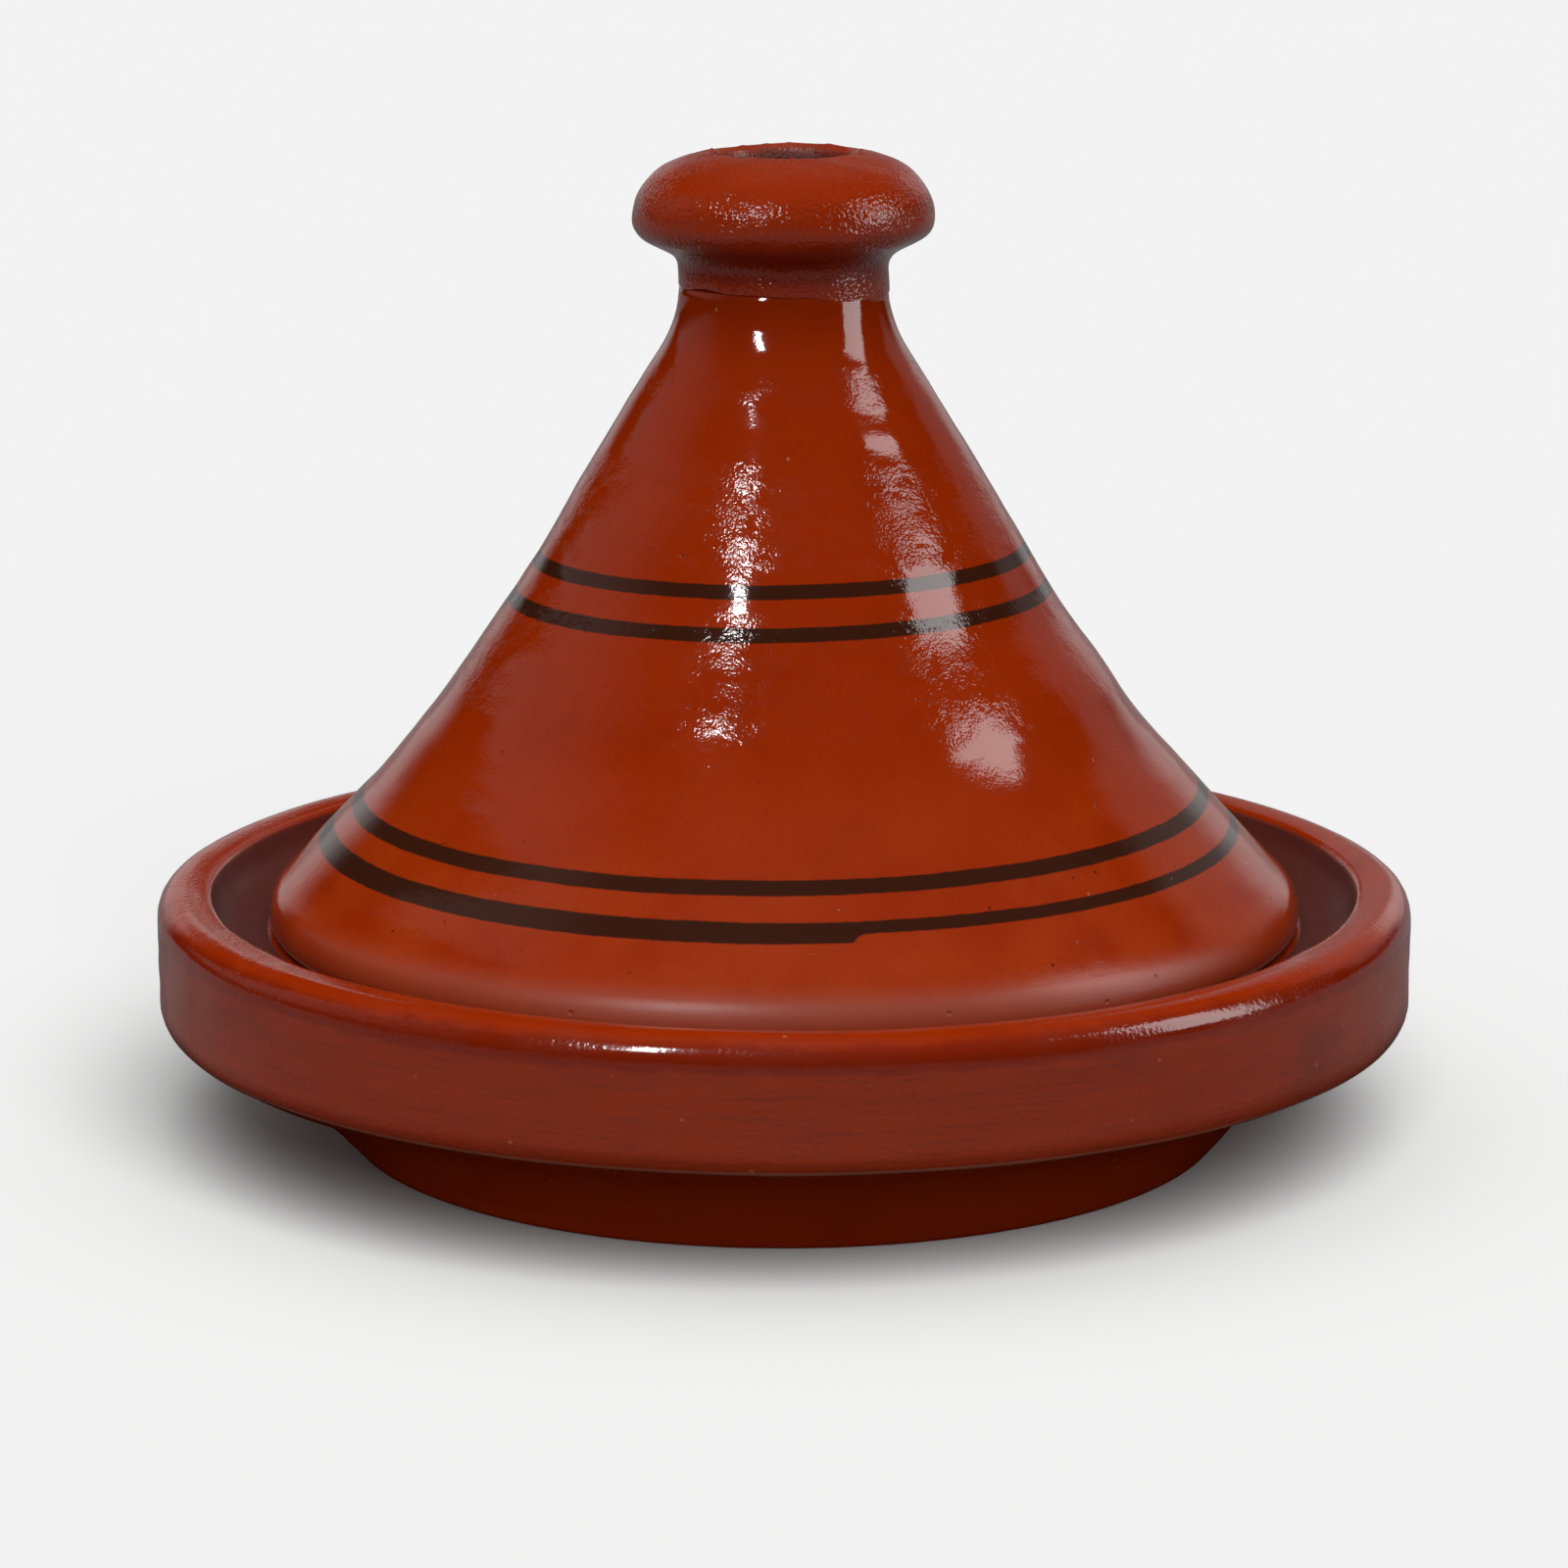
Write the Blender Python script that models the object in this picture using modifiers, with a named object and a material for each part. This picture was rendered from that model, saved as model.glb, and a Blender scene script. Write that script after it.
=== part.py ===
"""Tagine: a shallow fired-clay dish and a conical lid with a cup-shaped knob.

Metres, +Z up. The origin is the middle of the dish's flat underside, on the
axis that every piece is turned about.
"""

import math

import bpy


# Dish ---------------------------------------------------------------------
DISH_HEIGHT = 0.0613        # underside to the top of the rim
BAND_HEIGHT = 0.0303        # upright band, from its lower edge to the rim's top
BAND_UNDERCUT = 0.0023      # how far the band's lower edge stands inside the rim
RIM_ROUND = 0.0065          # rounding over the rim's outer edge
RIM_WIDTH = 0.0130          # outermost radius to the rim's inner edge
GALLERY_FLARE = 0.0075      # outward lean of the wall from the ledge up to the rim
RIM_FALL = 0.0008           # drop of the rim's top towards the inside
FOOT_RADIUS = 0.1070        # flat underside that the dish rests on
FLOOR_THICKNESS = 0.0095
BOWL_FLOOR_INSET = 0.0330   # flat of the bowl's floor, inside the foot's edge
LEDGE_DEPTH = 0.0093        # rim's top down to the outer corner of the lid ledge
LEDGE_REACH = 0.0037        # ledge left inside the lid's seat
LEDGE_SLOPE = 8.2           # ledge falling towards the inside, degrees below level
SHOULDER_ANGLE = 13.0       # underside next to the band, degrees below level
FOOT_ANGLE = 51.0           # underside next to the foot, degrees above level
UNDERSIDE_PULL = 0.45       # how far the underside holds each of those angles
BOWL_FLOOR_ANGLE = 4.0      # bowl's wall where it leaves the floor, above level
BOWL_EDGE_ANGLE = 82.0      # bowl's wall where it meets the ledge, above level
BOWL_PULL = 0.42
RIM_PULL = 0.39

# Lid ----------------------------------------------------------------------
LID_RADIUS = 0.1256         # widest radius, at the lid's rounded edge
CONE_HEIGHT = 0.1551        # lid's seat to the seam under the knob
LID_WALL = 0.0075
CROWN_THICKNESS = 0.0120    # clay left between the hollow and the seam
EDGE_HEIGHT = 0.0108        # seat to where the cone's side runs into the edge
EDGE_SETBACK = 0.0026       # radius lost by the edge's rounding at that height
NECK_RADIUS = 0.0250
NECK_FLARE = 0.0144         # height of the sweep from the neck into the cone
TOP_ANGLE = 31.3            # cone's side under the neck, degrees from upright
BOTTOM_ANGLE = 45.2         # cone's side above the edge, degrees from upright
CONE_PULL = 0.414           # how far the side holds each of those angles

# Knob ---------------------------------------------------------------------
KNOB_RADIUS = 0.0362
KNOB_HEIGHT = 0.0313
KNOB_WAIST = 0.0026         # straight neck above the seam
KNOB_BELLY = 0.0155         # height of the widest point above the seam
KNOB_TOP_ANGLE = 9.0        # knob's top next to the lip, degrees below level
KNOB_TOP_PULL = 0.384
KNOB_UNDER_PULL = 0.45
WELL_RADIUS = 0.0165        # cup in the knob's top, at its lip
WELL_BOTTOM_RADIUS = 0.0125
WELL_DEPTH = 0.0220
LIP_WIDTH = 0.0020          # rounded lip around the cup

# Fits ---------------------------------------------------------------------
LID_PLAY = 0.0064           # radial play between the lid and the gallery wall
TOUCHING_GAP = 0.0003       # left between faces that rest on or join each other

TURN_STEPS = 64             # facets around each turned piece

# Worked out from the sizes above
GALLERY_RADIUS = LID_RADIUS + LID_PLAY
RIM_RADIUS = GALLERY_RADIUS + GALLERY_FLARE + RIM_WIDTH
SEAT_OUTER_RADIUS = LID_RADIUS - EDGE_SETBACK
SEAT_INNER_RADIUS = SEAT_OUTER_RADIUS - LID_WALL * math.cos(math.radians(BOTTOM_ANGLE))
LEDGE_INNER_RADIUS = SEAT_INNER_RADIUS - LEDGE_REACH
LEDGE_CORNER = DISH_HEIGHT - LEDGE_DEPTH


def ledge_height(radius):
    """Height of the sloping ledge, falling evenly towards the axis."""
    return LEDGE_CORNER - math.tan(math.radians(LEDGE_SLOPE)) * (GALLERY_RADIUS - radius)


SEAT_HEIGHT = ledge_height(LID_RADIUS) + TOUCHING_GAP


def clear_scene():
    """Start from an empty scene."""
    for obj in list(bpy.data.objects):
        bpy.data.objects.remove(obj, do_unlink=True)


def glazed_clay(name, colour, roughness):
    """Fired clay with one Principled shader."""
    material = bpy.data.materials.new(name)
    material.use_nodes = True
    shader = material.node_tree.nodes["Principled BSDF"]
    shader.inputs["Base Color"].default_value = (*colour, 1.0)
    shader.inputs["Roughness"].default_value = roughness
    shader.inputs["Metallic"].default_value = 0.0
    return material


def direction(degrees):
    """Unit step in the profile plane, at an angle above level."""
    return math.cos(math.radians(degrees)), math.sin(math.radians(degrees))


def sweep(start, start_angle, end, end_angle, count, pull=1 / 3):
    """Cubic curve from start to end, leaving and arriving at given angles.

    Both of its handles are pull times the chord long. The start point is
    left out, so that stretches can be joined one after another.
    """
    handle = pull * math.dist(start, end)
    out_r, out_z = direction(start_angle)
    in_r, in_z = direction(end_angle)
    first = (start[0] + handle * out_r, start[1] + handle * out_z)
    second = (end[0] - handle * in_r, end[1] - handle * in_z)
    points = []
    for step in range(1, count + 1):
        t = step / count
        weights = ((1 - t) ** 3, 3 * t * (1 - t) ** 2, 3 * t * t * (1 - t), t ** 3)
        corners = (start, first, second, end)
        points.append(tuple(
            sum(weight * corner[axis] for weight, corner in zip(weights, corners))
            for axis in range(2)))
    return points


def inner_side(points, thickness):
    """Outline points moved square to the outline, towards the axis."""
    moved = []
    for index, (radius, height) in enumerate(points):
        before = points[max(index - 1, 0)]
        after = points[min(index + 1, len(points) - 1)]
        run_r, run_z = after[0] - before[0], after[1] - before[1]
        length = math.hypot(run_r, run_z)
        moved.append((radius + thickness * run_z / length,
                      height - thickness * run_r / length))
    return moved


def turned(name, profile, material, collection):
    """Solid turned about Z from an outline that starts and ends on the axis."""
    mesh = bpy.data.meshes.new(name)
    points = [(radius, 0.0, height) for radius, height in profile]
    edges = [(index, index + 1) for index in range(len(points) - 1)]
    mesh.from_pydata(points, edges, [])
    obj = bpy.data.objects.new(name, mesh)
    collection.objects.link(obj)
    screw = obj.modifiers.new("turn", "SCREW")
    screw.axis = "Z"
    screw.steps = TURN_STEPS
    screw.render_steps = TURN_STEPS
    screw.use_merge_vertices = True
    screw.merge_threshold = 0.00001
    screw.use_smooth_shade = True
    mesh.materials.append(material)
    return obj


def dish_profile():
    """Outline of the dish, from the middle of the bowl round to the underside."""
    bowl_floor = (FOOT_RADIUS - BOWL_FLOOR_INSET, FLOOR_THICKNESS)
    bowl_edge = (LEDGE_INNER_RADIUS, ledge_height(LEDGE_INNER_RADIUS))
    gallery_foot = (GALLERY_RADIUS, LEDGE_CORNER)
    rim_inner = (RIM_RADIUS - RIM_WIDTH, DISH_HEIGHT - RIM_FALL)
    rim_top = (RIM_RADIUS - RIM_ROUND, DISH_HEIGHT)
    rim_side = (RIM_RADIUS, DISH_HEIGHT - RIM_ROUND)
    band_edge = (RIM_RADIUS - BAND_UNDERCUT, DISH_HEIGHT - BAND_HEIGHT)
    band_turn = (RIM_RADIUS, band_edge[1] + 3 * BAND_UNDERCUT)
    profile = [(0.0, FLOOR_THICKNESS), bowl_floor]
    profile += sweep(bowl_floor, BOWL_FLOOR_ANGLE, bowl_edge, BOWL_EDGE_ANGLE, 7, BOWL_PULL)
    profile += [gallery_foot, rim_inner, rim_top]
    profile += sweep(rim_top, 0.0, rim_side, -90.0, 4, RIM_PULL)
    profile += [band_turn]
    profile += sweep(band_turn, -90.0, band_edge, -115.0, 2)
    profile += sweep(band_edge, 180.0 + SHOULDER_ANGLE, (FOOT_RADIUS, 0.0), 180.0 + FOOT_ANGLE,
                     6, UNDERSIDE_PULL)
    profile += [(0.0, 0.0)]
    return profile


def cone_side():
    """Outer outline of the lid, from the seam down to the edge's shoulder."""
    neck = (NECK_RADIUS, CONE_HEIGHT)
    flared = NECK_RADIUS + NECK_FLARE * math.tan(math.radians(TOP_ANGLE)) / 2
    cone_top = (flared, CONE_HEIGHT - NECK_FLARE)
    shoulder = (SEAT_OUTER_RADIUS, EDGE_HEIGHT)
    side = [neck]
    side += sweep(neck, -90.0, cone_top, TOP_ANGLE - 90.0, 3)
    side += sweep(cone_top, TOP_ANGLE - 90.0, shoulder, BOTTOM_ANGLE - 90.0, 8, CONE_PULL)
    return side


def lid_seat(radius):
    """Height of the lid's underside, level with the ledge it rests on."""
    return ledge_height(radius) + TOUCHING_GAP - SEAT_HEIGHT


def cone_profile():
    """Outline of the lid's cone, down its outer side and up its hollow."""
    side = cone_side()
    edge_side = (LID_RADIUS, EDGE_HEIGHT / 3)
    seat_outer = (SEAT_OUTER_RADIUS, lid_seat(SEAT_OUTER_RADIUS))
    seat_inner = (SEAT_INNER_RADIUS, lid_seat(SEAT_INNER_RADIUS))
    hollow_top = CONE_HEIGHT - CROWN_THICKNESS
    hollow = [point for point in inner_side(side, LID_WALL) if point[1] < hollow_top - LID_WALL]
    profile = [(0.0, CONE_HEIGHT)] + side
    profile += sweep(side[-1], BOTTOM_ANGLE - 90.0, edge_side, -90.0, 3)
    profile += sweep(edge_side, -90.0, seat_outer, -180.0, 3)
    profile += [seat_inner]
    profile += hollow[::-1]
    profile += sweep(hollow[0], 90.0 + TOP_ANGLE, (0.0, hollow_top), 180.0, 4)
    return profile


def knob_profile():
    """Outline of the knob, up its cup, over the lip and down to the seam."""
    well_floor = KNOB_HEIGHT - WELL_DEPTH
    well_corner = (WELL_BOTTOM_RADIUS - LIP_WIDTH, well_floor)
    well_side = (WELL_BOTTOM_RADIUS, well_floor + LIP_WIDTH)
    well_top = (WELL_RADIUS, KNOB_HEIGHT - LIP_WIDTH)
    lip = (WELL_RADIUS + LIP_WIDTH, KNOB_HEIGHT)
    belly = (KNOB_RADIUS, KNOB_BELLY)
    waist = (NECK_RADIUS, KNOB_WAIST)
    profile = [(0.0, well_floor), well_corner, well_side, well_top]
    profile += sweep(well_top, 90.0, lip, 0.0, 2)
    profile += sweep(lip, -KNOB_TOP_ANGLE, belly, -90.0, 6, KNOB_TOP_PULL)
    profile += sweep(belly, -90.0, waist, -90.0, 7, KNOB_UNDER_PULL)
    profile += [(NECK_RADIUS, 0.0), (0.0, 0.0)]
    return profile


def make_dish(collection):
    """Dish with a thick rim, an inner ledge for the lid and a flat underside."""
    glaze = glazed_clay("dish_glaze", (0.27, 0.045, 0.012), 0.28)
    return turned("base_dish", dish_profile(), glaze, collection)


def make_cone(collection):
    """Hollow conical lid, closed under the knob."""
    glaze = glazed_clay("lid_glaze", (0.32, 0.035, 0.006), 0.18)
    return turned("lid_cone", cone_profile(), glaze, collection)


def make_knob(collection):
    """Cup-shaped knob, thrown on its own and joined to the cone at the seam."""
    glaze = glazed_clay("knob_glaze", (0.30, 0.033, 0.006), 0.20)
    return turned("lid_knob", knob_profile(), glaze, collection)


def build():
    """Dish on the ground, lid on its ledge."""
    clear_scene()
    collection = bpy.data.collections.new("tagine")
    bpy.context.scene.collection.children.link(collection)
    make_dish(collection)

    lid = bpy.data.objects.new("lid_seat", None)
    lid.location = (0.0, 0.0, SEAT_HEIGHT)
    lid.empty_display_size = NECK_RADIUS
    collection.objects.link(lid)

    cone = make_cone(collection)
    cone.parent = lid

    knob = make_knob(collection)
    knob.location = (0.0, 0.0, CONE_HEIGHT + TOUCHING_GAP)
    knob.parent = lid


build()
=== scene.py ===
import math

import bpy
import numpy as np
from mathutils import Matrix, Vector


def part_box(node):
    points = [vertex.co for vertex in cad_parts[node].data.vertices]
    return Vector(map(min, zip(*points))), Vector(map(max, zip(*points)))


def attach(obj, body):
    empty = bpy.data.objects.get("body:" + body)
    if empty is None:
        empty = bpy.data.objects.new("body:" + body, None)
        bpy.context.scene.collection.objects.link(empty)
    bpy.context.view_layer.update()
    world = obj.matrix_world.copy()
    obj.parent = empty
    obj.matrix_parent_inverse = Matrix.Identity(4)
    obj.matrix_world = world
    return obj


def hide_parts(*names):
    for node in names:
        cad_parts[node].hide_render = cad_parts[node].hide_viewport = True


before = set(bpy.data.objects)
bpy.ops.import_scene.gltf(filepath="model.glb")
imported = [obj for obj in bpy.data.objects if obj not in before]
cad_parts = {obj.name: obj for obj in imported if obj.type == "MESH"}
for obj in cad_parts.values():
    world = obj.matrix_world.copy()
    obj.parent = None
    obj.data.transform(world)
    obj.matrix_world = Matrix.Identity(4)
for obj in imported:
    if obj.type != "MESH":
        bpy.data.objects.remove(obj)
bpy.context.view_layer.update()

# A glazed tagine: the dish, the conical lid on its ledge, and the knob luted
# to the lid. Metres, +Z up. Angles round a piece start at the front, -Y, and
# grow towards the right, +X. Slopes are in degrees above level, except where
# a comment says otherwise.

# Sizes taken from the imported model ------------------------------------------
DISH_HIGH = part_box("base_dish")[1]
CONE_LOW, CONE_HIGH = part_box("lid_cone")
KNOB_LOW, KNOB_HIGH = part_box("lid_knob")
RIM_RADIUS = DISH_HIGH.x
DISH_HEIGHT = DISH_HIGH.z
LID_RADIUS = CONE_HIGH.x
CONE_TOP = CONE_HIGH.z
KNOB_RADIUS = KNOB_HIGH.x
KNOB_TOP = KNOB_HIGH.z
SEAM = KNOB_LOW.z

# Dish ------------------------------------------------------------------------
BAND_HEIGHT = 0.0303
BAND_UNDERCUT = 0.0012
BAND_TURN = 0.0040
RIM_ROUND = 0.0065
RIM_WIDTH = 0.0130
GALLERY_FLARE = 0.0075
GALLERY_FILLET = 0.0015
GALLERY_LEAN = 80.0
RIM_FALL = 0.0008
FOOT_RADIUS = 0.1070
FLOOR_THICKNESS = 0.0095
BOWL_FLOOR_RADIUS = 0.0740
LEDGE_DEPTH = 0.0093
LEDGE_INNER_RADIUS = 0.1140
LEDGE_SLOPE = 8.2
BOWL_FLOOR_SLOPE = 4.0
BOWL_WALL_SLOPE = 82.0
SHOULDER_SLOPE = 13.0
FOOT_SLOPE = 51.0
UNDERCUT_SLOPE = -118.0
GALLERY_RADIUS = RIM_RADIUS - RIM_WIDTH - GALLERY_FLARE
LEDGE_CORNER = DISH_HEIGHT - LEDGE_DEPTH

# Lid -------------------------------------------------------------------------
LID_WALL = 0.0075
CROWN_THICKNESS = 0.0120
EDGE_HEIGHT = 0.0108
EDGE_SETBACK = 0.0026
NECK_RADIUS = 0.0250
NECK_FLARE = 0.0144
# The cone's slope at its top and at its edge, in degrees from upright
TOP_ANGLE = 31.3
BOTTOM_ANGLE = 45.2
CONE_PULL = 0.414
SEAT_WIDTH = 0.0053
# The seat matches the ledge, so its inner edge is the lid's lowest point and this is its outer edge
CONE_FOOT = CONE_LOW.z + SEAT_WIDTH * math.tan(math.radians(LEDGE_SLOPE))

# Knob ------------------------------------------------------------------------
KNOB_BELLY = 0.0155
THROAT_START = (0.0250, 0.0034)
THROAT_END = (0.0308, 0.0092)
THROAT_SLOPE = 24.0
KNOB_TOP_SLOPE = 9.0
WELL_RADIUS = 0.0165
WELL_BOTTOM_RADIUS = 0.0125
WELL_DEPTH = 0.0220
LIP_WIDTH = 0.0020

# Outlines and turned surfaces --------------------------------------------------
OUTLINE_STEP = 0.00015
CURVE_POINTS = 60
COLUMNS = 512
KNOB_COLUMNS = 400
POLE_FADE = 0.006


def sweep(start, start_angle, end, end_angle, pull=1 / 3):
    """Cubic curve that leaves start and reaches end at given angles above level.

    A point is the sum of the four corners weighted by (1-t)^3, 3t(1-t)^2,
    3t^2(1-t) and t^3, and the two inner corners lie pull times the chord
    along those directions.
    """
    handle = pull * math.dist(start, end)
    leave, arrive = math.radians(start_angle), math.radians(end_angle)
    corners = np.array([
        start,
        (start[0] + handle * math.cos(leave), start[1] + handle * math.sin(leave)),
        (end[0] - handle * math.cos(arrive), end[1] - handle * math.sin(arrive)),
        end,
    ])
    t = np.linspace(0.0, 1.0, CURVE_POINTS + 1)[1:]
    weights = np.stack([(1 - t) ** 3, 3 * t * (1 - t) ** 2, 3 * t * t * (1 - t), t ** 3], 1)
    return weights @ corners


def even(points):
    """Points read off a line at equal steps along it."""
    run = np.hypot(*np.diff(points, axis=0).T)
    along = np.concatenate([[0.0], np.cumsum(run)])
    places = np.linspace(0.0, along[-1], int(along[-1] / OUTLINE_STEP) + 1)
    return np.stack([np.interp(places, along, points[:, axis]) for axis in (0, 1)], 1)


def soften(points, rounding):
    """Line with its corners rounded: each point becomes the bell-weighted mean of its neighbours.

    Both ends lie on the axis, so beyond them the line goes on as its own
    mirror image.
    """
    reach = int(3 * rounding / OUTLINE_STEP)
    offsets = np.arange(-reach, reach + 1) * OUTLINE_STEP
    bell = np.exp(-0.5 * (offsets / rounding) ** 2)
    bell /= bell.sum()
    mirror = np.array([-1.0, 1.0])
    before = points[1:reach + 1][::-1] * mirror
    after = points[-reach - 1:-1][::-1] * mirror
    padded = np.vstack([before, points, after])
    return np.stack([np.convolve(padded[:, axis], bell, "valid") for axis in (0, 1)], 1)


def outline(stretches, rounding):
    """Stretches joined into one even line with rounded corners."""
    joined = np.vstack([np.atleast_2d(stretch) for stretch in stretches])
    return soften(even(joined), rounding)


def spaced_rows(line, count, bend_share):
    """Row places along a line, closer together where it bends.

    The cost of a step is its length plus bend_share metres for each radian
    turned, and the rows lie at equal costs.
    """
    step = np.diff(line, axis=0)
    heading = np.unwrap(np.arctan2(step[:, 1], step[:, 0]))
    turn = np.abs(np.gradient(heading))
    cost = np.concatenate([[0.0], np.cumsum(np.hypot(*step.T) + bend_share * turn)])
    places = np.linspace(0.0, cost[-1], count + 1)
    return np.interp(places, cost, np.arange(len(line)))


class Turned:
    """A line turned about Z, as a grid of rows along the line and columns round the axis.

    radius, height, out_r and out_z hold each row's place and outward
    direction, and along its distance down the line. angle runs round the
    axis, and a point is (radius sin angle, -radius cos angle, height).
    """

    def __init__(self, line, rows, columns, bend_share=0.002):
        row = spaced_rows(line, rows, bend_share)
        index = np.arange(len(line))
        slope = np.gradient(line, axis=0)
        slope /= np.hypot(*slope.T)[:, None]
        run = np.concatenate([[0.0], np.cumsum(np.hypot(*np.diff(line, axis=0).T))])

        def read(values):
            """Values along the line read off at the rows, as a column."""
            return np.interp(row, index, values)[:, None]

        self.radius, self.height = read(line[:, 0]), read(line[:, 1])
        out_r, out_z = read(-slope[:, 1]), read(slope[:, 0])
        size = np.hypot(out_r, out_z)
        self.out_r, self.out_z = out_r / size, out_z / size
        self.along = read(run)
        self.angle = np.linspace(0.0, 2 * np.pi, columns, endpoint=False)[None, :]

    def moved(self, outward, lift=0.0, widen=0.0):
        """Radius and height of every point, moved outward and up, and its radius widened by a share.

        Near a pole the first two fade out in proportion to the radius.
        """
        fade = np.clip(self.radius / POLE_FADE, 0.0, 1.0)
        radius = self.radius * (1 + widen) + self.out_r * outward * fade
        height = self.height + self.out_z * outward * fade + lift * fade
        return np.broadcast_arrays(radius, height, self.angle)[:2]


def solid(name, turned, radius, height, bare):
    """Closed mesh through a grid of radii and heights, with a pole at each end of the line.

    Each row but the first and last is a ring of corners, four-sided faces
    join neighbouring rings, and the end rings close on the axis with
    triangles. bare says how far the clay is unglazed, from 0 to 1.
    """
    columns = turned.angle.shape[1]
    x, y = radius * np.sin(turned.angle), -radius * np.cos(turned.angle)
    rings = np.stack([x, y, height], -1)[1:-1]
    poles = np.array([[0.0, 0.0, height[0].mean()], [0.0, 0.0, height[-1].mean()]])
    corners = np.vstack([rings.reshape(-1, 3), poles])
    number = np.arange(rings.shape[0] * columns).reshape(rings.shape[0], columns)
    beside = np.roll(number, -1, axis=1)
    quads = np.stack([number[:-1], number[1:], beside[1:], beside[:-1]], -1).reshape(-1, 4)
    first, last = len(corners) - 2, len(corners) - 1
    start = np.stack([np.full(columns, first), number[0], beside[0]], -1)
    end = np.stack([beside[-1], number[-1], np.full(columns, last)], -1)
    faces = np.concatenate([quads.ravel(), start.ravel(), end.ravel()])
    sizes = np.repeat([4, 3], [len(quads), 2 * columns])

    mesh = bpy.data.meshes.new(name)
    mesh.vertices.add(len(corners))
    mesh.vertices.foreach_set("co", corners.astype(np.float32).ravel())
    mesh.loops.add(len(faces))
    mesh.loops.foreach_set("vertex_index", faces.astype(np.int32))
    mesh.polygons.add(len(sizes))
    mesh.polygons.foreach_set("loop_start", (np.cumsum(sizes) - sizes).astype(np.int32))
    mesh.update(calc_edges=True)
    mesh.polygons.foreach_set("use_smooth", np.ones(len(sizes), bool))
    layer = mesh.attributes.new("bare", "FLOAT", "POINT")
    bare = np.broadcast_to(bare, radius.shape)
    shown = np.concatenate([bare[1:-1].ravel(), [bare[0].mean(), bare[-1].mean()]])
    layer.data.foreach_set("value", shown.astype(np.float32))
    mesh.validate()
    piece = bpy.data.objects.new(name, mesh)
    bpy.context.scene.collection.objects.link(piece)
    return piece


# The potter's hand -------------------------------------------------------------

def ramp(values, low, high):
    """0 below low, 1 above high, and the S-curve 3t^2 - 2t^3 between them."""
    t = np.clip((values - low) / (high - low), 0.0, 1.0)
    return t * t * (3 - 2 * t)


def waves(turned, seed, strength, around, wavelength, count=24):
    """Smooth random waves: a sum of cosines of whole turns round and random pitches along.

    The sum has a root mean square of strength.
    """
    draw = np.random.default_rng(seed)
    total = 0.0
    for _ in range(count):
        turns = draw.integers(0, around + 1) * draw.choice([-1, 1])
        pitch = 2 * np.pi / (wavelength * draw.uniform(0.7, 2.5))
        phase = draw.uniform(0.0, 2 * np.pi)
        total = total + np.cos(turns * turned.angle + pitch * turned.along + phase)
    return strength * total * math.sqrt(2.0 / count)


def out_of_round(turned, seed, strength):
    """Slow change of radius round a piece: cosines of two to five turns, fading as 1/turns."""
    draw = np.random.default_rng(seed)
    total = 0.0
    for turns in (2, 3, 4, 5):
        total = total + draw.normal() * np.cos(turns * turned.angle + draw.uniform(0.0, 6.28)) / turns
    return strength * total


def throwing_rings(turned, seed, strength, pitch):
    """Spiral ridge left by the fingers: a cosine of distance along plus one turn for each pitch."""
    drift = waves(turned, seed, strength=0.6, around=2, wavelength=0.05, count=8)
    return strength * np.cos(2 * np.pi * turned.along / pitch + turned.angle + drift)


def crumbs(turned, seed, count, place, spread, size, height):
    """Small lumps: a bell-shaped bump at each of count random spots near a place on the line."""
    draw = np.random.default_rng(seed)
    total = 0.0
    for _ in range(count):
        angle = draw.uniform(0.0, 2 * np.pi)
        along = place + spread * draw.normal()
        width = size * draw.uniform(0.6, 1.5)
        aside = (turned.angle - angle + np.pi) % (2 * np.pi) - np.pi
        far = (aside * turned.radius) ** 2 + (turned.along - along) ** 2
        total = total + height * draw.uniform(0.3, 1.0) * np.exp(-0.5 * far / width ** 2)
    return total


def ledge_height(radius):
    """Height of the dish's sloping ledge, falling evenly towards the axis."""
    return LEDGE_CORNER - math.tan(math.radians(LEDGE_SLOPE)) * (GALLERY_RADIUS - radius)


# Pieces ------------------------------------------------------------------------
DISH_ROWS, CONE_ROWS, KNOB_ROWS = 186, 188, 240
DISH_ROUNDING, CONE_ROUNDING, KNOB_ROUNDING = 0.00045, 0.0006, 0.00035
UNDERSIDE_SAG = 0.0028
SAG_SIDE = math.radians(-86)
# Radii between which the sag sets in and dies out
SAG_START = (0.108, 0.128)
SAG_END = (0.144, 0.150)
EDGE_BEAD = 0.00025
EDGE_BEAD_WIDTH = 0.0007
SWELL_HEIGHT = 0.00022
SWELL_CREST = 0.083
SWELL_PITCH = 0.047
SKIRT_DROP = 0.0030
SKIRT_SKIN = 0.0002


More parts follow.
